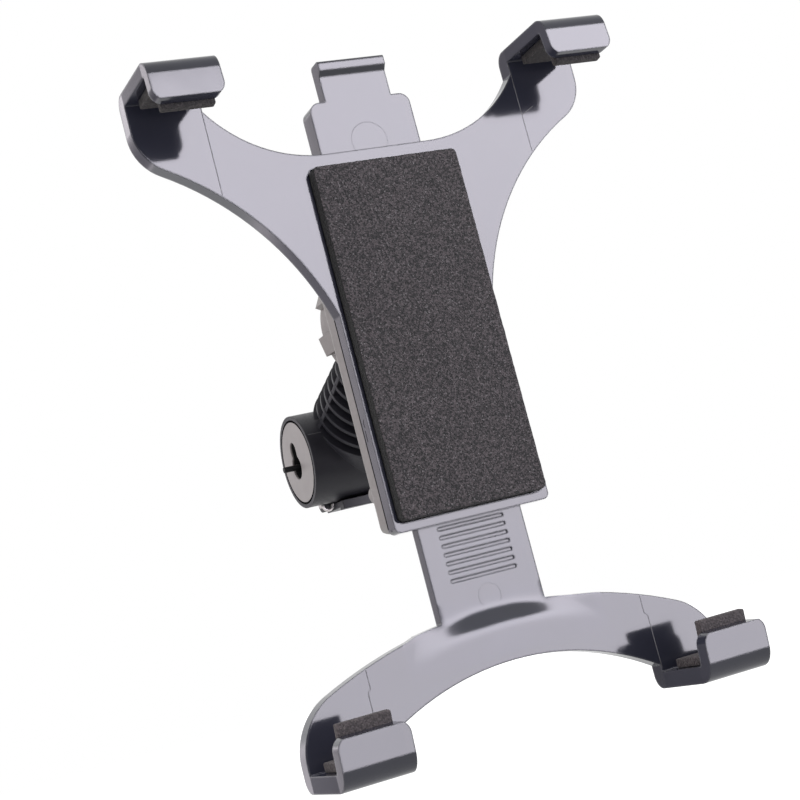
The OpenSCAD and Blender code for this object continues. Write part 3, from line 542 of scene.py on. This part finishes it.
def lining_strip(name, node, body, mat):
    """A hook lining: the CAD strip's own outline with soft edges and a foam grain."""
    bm = bmesh.new()
    bm.from_mesh(nodes[node].data)
    bmesh.ops.remove_doubles(bm, verts=bm.verts, dist=WELD)
    bmesh.ops.dissolve_limit(bm, angle_limit=FLAT_ANGLE, verts=bm.verts, edges=bm.edges)
    sharp = [e for e in bm.edges if len(e.link_faces) == 2 and e.calc_face_angle(0) > SHARP_ANGLE]
    bmesh.ops.bevel(
        bm, geom=sharp, offset=LINING_EDGE_R, segments=3, profile=0.5,
        affect="EDGES", clamp_overlap=True,
    )
    bmesh.ops.triangulate(bm, faces=bm.faces)
    ob = piece(name, bm, mat, body)
    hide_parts(node)


foam_block()
for side in ("left", "right"):
    lining_strip("upper_foam_" + side, "upper_lining_" + side, "holder", MATS["lining_foam"])
    lining_strip("lower_foam_" + side, "lower_lining_" + side, "bracket", LOWER_LINING)


# A strip's section: across it in widths, and up in heights.
STRIP_SECTION = ((-0.5, -0.05), (-0.28, 0.8), (0.0, 1.0), (0.28, 0.8), (0.5, -0.05))


def strip(bm, points, outs, width, height):
    """A low rounded line along points in metres, raised along the outward directions outs."""
    last = len(points) - 1
    rows = []
    for k, p in enumerate(points):
        along = (points[min(k + 1, last)] - points[max(k - 1, 0)]).normalized()
        side = along.cross(outs[k]).normalized()
        row = []
        for s, t in STRIP_SECTION:
            row.append(bm.verts.new(p + side * (s * width * MM) + outs[k] * (t * height * MM)))
        rows.append(row)
    for a, b in zip(rows, rows[1:]):
        for k in range(len(STRIP_SECTION) - 1):
            bm.faces.new((a[k], a[k + 1], b[k + 1], b[k]))


def ribbon(bm, pts, y, width, height):
    """A low line along pts (x, z in mm) on the front plane y."""
    strip(bm, [at(x, y, z) for x, z in pts], [Vector((0, -1, 0))] * len(pts), width, height)


def circle_points(z, r, n=72):
    """A closed circle of radius r about (0, z)."""
    turns = [2 * math.pi * k / n for k in range(n + 1)]
    return [(r * math.cos(t), z + r * math.sin(t)) for t in turns]


# Surface marks, in millimetres. The moulds' insert lines run down from the hooks' inner
# corners to the arms' edges.
UPPER_LINE_X, UPPER_LINE_TOP, UPPER_LINE_FOOT = 48.0, 74.4, 46.6
LOWER_LINE_X, LOWER_LINE_TOP, LOWER_LINE_FOOT = 42.2, -85.3, -106.2
LINE_JOG, LINE_JOG_Z = 0.9, -90.2
LINE_W, LINE_H = 0.26, 0.04
# The width and height of the other lines.
PIN_LINE, SEAM_LINE, JOINT_LINE, CATCH_H = (0.3, 0.035), (0.3, 0.05), (0.7, 0.04), 0.05
TICK = ((48.0, 58.0), (52.2, 60.2))
# Each ejector pin mark: its name, body, height and radius.
PIN_MARKS = (("tongue_pin_mark", "bracket", -74.6, 3.4), ("tab_pin_mark", "tab", 57.6, 5.45))
BARREL_R, BARREL_L, CAP_R = 14.4, 43.0, 12.85
SEAM_ANGLE, SEAM_START, SEAM_END = math.radians(25), BARREL_L / 2 - 0.6, 16.5
PANEL_HALF_W = 23.7
PARTING_Y, PARTING_Z = 8.42, (-50.9, 8.4)
# The snap catch's strips of painted shade: each one's points (y, z) and its width.
CATCH = (
    (((6.0, -20.4), (6.7, -21.5), (6.3, -22.7)), 0.35),
    (((6.8, -23.4), (6.9, -26.6)), 0.4),
)


def insert_lines():
    """The thin lines that the moulds' inserts leave on the arms and on the arch."""
    dark = satin_plastic(*INSERT_LINE)
    upper, lower = bmesh.new(), bmesh.new()
    for s in (-1, 1):
        x = s * UPPER_LINE_X
        ribbon(upper, [(x, UPPER_LINE_TOP), (x, UPPER_LINE_FOOT)], COVER_Y, LINE_W, LINE_H)
        x, jog_x = s * LOWER_LINE_X, s * (LOWER_LINE_X + LINE_JOG)
        bend = [(x, LINE_JOG_Z), (jog_x, LINE_JOG_Z - LINE_JOG)]
        points = [(x, LOWER_LINE_TOP), *bend, (jog_x, LOWER_LINE_FOOT)]
        ribbon(lower, points, ARCH_Y, LINE_W, LINE_H)
    ribbon(upper, TICK, COVER_Y, LINE_W, LINE_H)
    piece("arm_insert_lines", upper, dark, "holder")
    piece("arch_insert_lines", lower, dark, "bracket")


def ejector_marks():
    """Faint round marks that a mould's pins leave on the tongue and on the tab."""
    for name, body, z, r in PIN_MARKS:
        bm = bmesh.new()
        ribbon(bm, circle_points(z, r), TONGUE_Y, *PIN_LINE)
        piece(name, bm, MATS["gloss_black"], body)


def barrel_seam():
    """The mould's parting line along the barrel, from each end to the neck's foot."""
    pale = satin_plastic(*BARREL_SEAM)
    out = Vector((0, -math.cos(SEAM_ANGLE), math.sin(SEAM_ANGLE)))
    bm = bmesh.new()
    for s in (-1, 1):
        ends = [Vector((s * x * MM, 0, 0)) + out * (BARREL_R * MM) for x in (SEAM_START, SEAM_END)]
        strip(bm, ends, [out, out], *SEAM_LINE)
    piece("barrel_seam", bm, pale, "hub")


def cap_joints():
    """Painted shade in the joint round each end cap."""
    dark = painted_shade("cap_joint_shadow")
    bm = bmesh.new()
    for s in (-1, 1):
        out = Vector((s, 0, 0))
        points = [Vector((s * BARREL_L / 2, y, z)) * MM for y, z in circle_points(0, CAP_R)]
        strip(bm, points, [out] * len(points), *JOINT_LINE)
    piece("cap_joints", bm, dark, "hub")


def catch_marks():
    """The snap catch's small notch and slit in the cover's side, shown as strips of painted shade.
    """
    dark = painted_shade("catch_mark_shadow")
    bm = bmesh.new()
    for s in (-1, 1):
        out = Vector((s, 0, 0))
        for pts, width in CATCH:
            points = [at(s * PANEL_HALF_W, y, z) for y, z in pts]
            strip(bm, points, [out] * len(points), width, CATCH_H)
    piece("catch_marks", bm, dark, "holder")


def parting_lines():
    """Painted shade in the joint between cover and shell along the body's two long sides."""
    bm = bmesh.new()
    for s in (-1, 1):
        ends = [at(s * PANEL_HALF_W, PARTING_Y, z) for z in PARTING_Z]
        strip(bm, ends, [Vector((s, 0, 0))] * 2, *JOINT_LINE)
    piece("parting_lines", bm, painted_shade("parting_shadow"), "holder")


insert_lines()
ejector_marks()
barrel_seam()
cap_joints()
catch_marks()
parting_lines()

# Stage and lights
scene = bpy.context.scene
scene.view_settings.view_transform = "Standard"

centre = (Vector(cad_box[0]) + Vector(cad_box[1])) / 2
FLOOR_DROP, FLOOR_HALF_W, FLOOR_GREY = 0.36, 9.0, 0.82
floor_z = cad_box[0][2] - FLOOR_DROP
# The floor's own glow by the distance from the origin: from, to and the two strengths.
FLOOR_GLOW = (0.9, 2.4, 0.35, 0.8)
# The world's strength as light, and where it is seen or reflected.
LIGHT_LEVEL, WHITE_LEVEL = 0.62, 1.0


def white_world():
    """Plain white where it is seen or reflected, and a soft plain light from all round."""
    world = bpy.data.worlds.new("studio")
    scene.world = world
    world.use_nodes = True
    nt = world.node_tree
    nt.nodes.clear()
    w = Wires(nt)
    out = nt.nodes.new("ShaderNodeOutputWorld")
    back = nt.nodes.new("ShaderNodeBackground")
    back.inputs["Color"].default_value = (*WHITE, 1.0)
    seen = w.seen("Is Camera Ray", "Is Glossy Ray", "Is Transmission Ray")
    nt.links.new(w.spread(seen, 0.0, 1.0, LIGHT_LEVEL, WHITE_LEVEL), back.inputs["Strength"])
    nt.links.new(back.outputs[0], out.inputs[0])


def flat_sheet(name, corners, mat):
    """One flat four-cornered face."""
    bm = bmesh.new()
    bm.faces.new([bm.verts.new(c) for c in corners])
    me = bpy.data.meshes.new(name)
    bm.to_mesh(me)
    bm.free()
    me.materials.append(mat)
    ob = bpy.data.objects.new(name, me)
    scene.collection.objects.link(ob)
    return ob


def floor_plane():
    """A pale floor that keeps the object's shadow and shades off into the white backdrop."""
    mat, nt = new_material("floor_paint")
    w = Wires(nt)
    out = nt.nodes.new("ShaderNodeOutputMaterial")
    paint = nt.nodes.new("ShaderNodeBsdfDiffuse")
    paint.inputs["Color"].default_value = (FLOOR_GREY, FLOOR_GREY, FLOOR_GREY, 1.0)
    length = nt.nodes.new("ShaderNodeVectorMath")
    length.operation = "LENGTH"
    nt.links.new(w.place(), length.inputs[0])
    fade = w.spread(length.outputs["Value"], *FLOOR_GLOW)
    seen = w.seen("Is Camera Ray", "Is Glossy Ray")
    add = nt.nodes.new("ShaderNodeAddShader")
    nt.links.new(paint.outputs[0], add.inputs[0])
    nt.links.new(w.glow(WHITE, w.math("MULTIPLY", seen, fade)), add.inputs[1])
    nt.links.new(add.outputs[0], out.inputs[0])
    s = FLOOR_HALF_W
    corners = [(x, y, floor_z) for x, y in ((-s, -s), (s, -s), (s, s), (-s, s))]
    flat_sheet("floor", corners, mat)


def lamp(name, azimuth, elevation, distance, size, radiance, color, diffuse=True, glossy=True):
    """A softbox that faces the object. Azimuth is from -Y towards +X, in degrees."""
    a, e = math.radians(azimuth), math.radians(elevation)
    back = Vector((math.sin(a) * math.cos(e), -math.cos(a) * math.cos(e), math.sin(e)))
    data = bpy.data.lights.new(name, "AREA")
    data.shape = "RECTANGLE"
    data.size, data.size_y = size
    data.energy = radiance * math.pi * size[0] * size[1]
    data.color = color
    ob = bpy.data.objects.new(name, data)
    scene.collection.objects.link(ob)
    ob.location = centre + back * distance
    ob.rotation_mode = "QUATERNION"
    ob.rotation_quaternion = back.to_track_quat("Z", "Y")
    ob.visible_diffuse = diffuse
    ob.visible_glossy = glossy
    ob.visible_camera = False
    return ob


# A softbox that shades off does so between these shares of its half height below and above
# its middle.
SHADE_BELOW, SHADE_ABOVE = 0.7, 0.5


def shade_off(ob, low):
    """Lets a softbox grow dimmer towards its lower edge, down to the share low."""
    data = ob.data
    data.use_nodes = True
    nt = data.node_tree
    emission = next(n for n in nt.nodes if n.type == "EMISSION")
    w = Wires(nt)
    z, half = ob.location.z, data.size_y / 2
    foot, top = z - half * SHADE_BELOW, z + half * SHADE_ABOVE
    share = w.spread(w.split(w.place())[2], foot, top, low, 1.0)
    share.node.interpolation_type = "SMOOTHSTEP"
    nt.links.new(share, emission.inputs["Strength"])


# The back card stands 0.9 m behind the foam. It is bright near the object and grey further left.
# Its corners, in millimetres from the foam's face.
CARD_Y, CARD_X, CARD_Z = 900.0, (-900, -320), (-420, 640)
# Its light in steps of X, near the object and further left, and by the height above the foam's
# middle: from, to and the two strengths, in metres.
CARD_NEAR = (-0.372, -0.345, 0.0, 2.0)
CARD_FAR = (-0.480, -0.380, 0.5, 1.05)
CARD_LOW, CARD_TOP, CARD_RISE = -0.19, 0.15, (0.62, 1.05)
CARD_COLOR = (1.0, 0.94, 1.0)


def back_card():
    """A card behind the object on the left, which only reflections show."""
    mat, nt = new_material("card_glow")
    w = Wires(nt)
    out = nt.nodes.new("ShaderNodeOutputMaterial")
    x, _, z = w.split(w.place())
    level = HOLDER.z * MM
    across = w.math("ADD", w.spread(x, *CARD_NEAR), w.spread(x, *CARD_FAR))
    height = w.spread(z, level + CARD_LOW, level + CARD_TOP, *CARD_RISE)
    strength = w.math("MULTIPLY", across, height)
    nt.links.new(w.glow(CARD_COLOR, strength), out.inputs[0])
    (x0, x1), (z0, z1) = CARD_X, CARD_Z
    corners = [at(x, CARD_Y, z) for x, z in ((x0, z0), (x1, z0), (x1, z1), (x0, z1))]
    ob = flat_sheet("back_card", corners, mat)
    ob.visible_camera = False
    ob.visible_diffuse = False
    ob.visible_shadow = False
    ob.visible_transmission = False


white_world()
floor_plane()
back_card()
# The front softbox is what the gloss plastic reflects. The other two only light the object.
front = lamp(
    "front_softbox", azimuth=24, elevation=5.6, distance=1.0, size=(1.15, 1.13),
    radiance=11.6, color=(0.93, 0.895, 1.0), diffuse=False,
)
shade_off(front, low=0.68)
lamp(
    "left_softbox", azimuth=-75, elevation=20, distance=1.3, size=(0.9, 1.1),
    radiance=1.5, color=(1.0, 0.98, 0.95), glossy=False,
)
lamp(
    "top_softbox", azimuth=-10, elevation=62, distance=1.4, size=(1.0, 1.0),
    radiance=0.8, color=WHITE, glossy=False,
)

# Camera
# Solved from the photograph's straight edges, in the holder's own frame.
data = bpy.data.cameras.new("camera")
cam = bpy.data.objects.new("camera", data)
scene.collection.objects.link(cam)
scene.camera = cam
SENSOR_W, FOCAL_PX, IMAGE_PX = 36.0, 1650.0, 800.0
CAMERA_PLACE = (-191.376, -405.462, -73.883)
data.sensor_width = SENSOR_W
data.lens = SENSOR_W * FOCAL_PX / IMAGE_PX
data.clip_start, data.clip_end = 0.01, 50.0
right = Vector((0.89936, -0.35796, -0.25104))
up = Vector((0.18336, -0.21245, 0.95981))
forward = Vector((0.39691, 0.90925, 0.12543))
turn = Matrix((right, up, -forward)).transposed()
cam.matrix_world = Matrix.Translation(at(*CAMERA_PLACE)) @ turn.to_4x4()
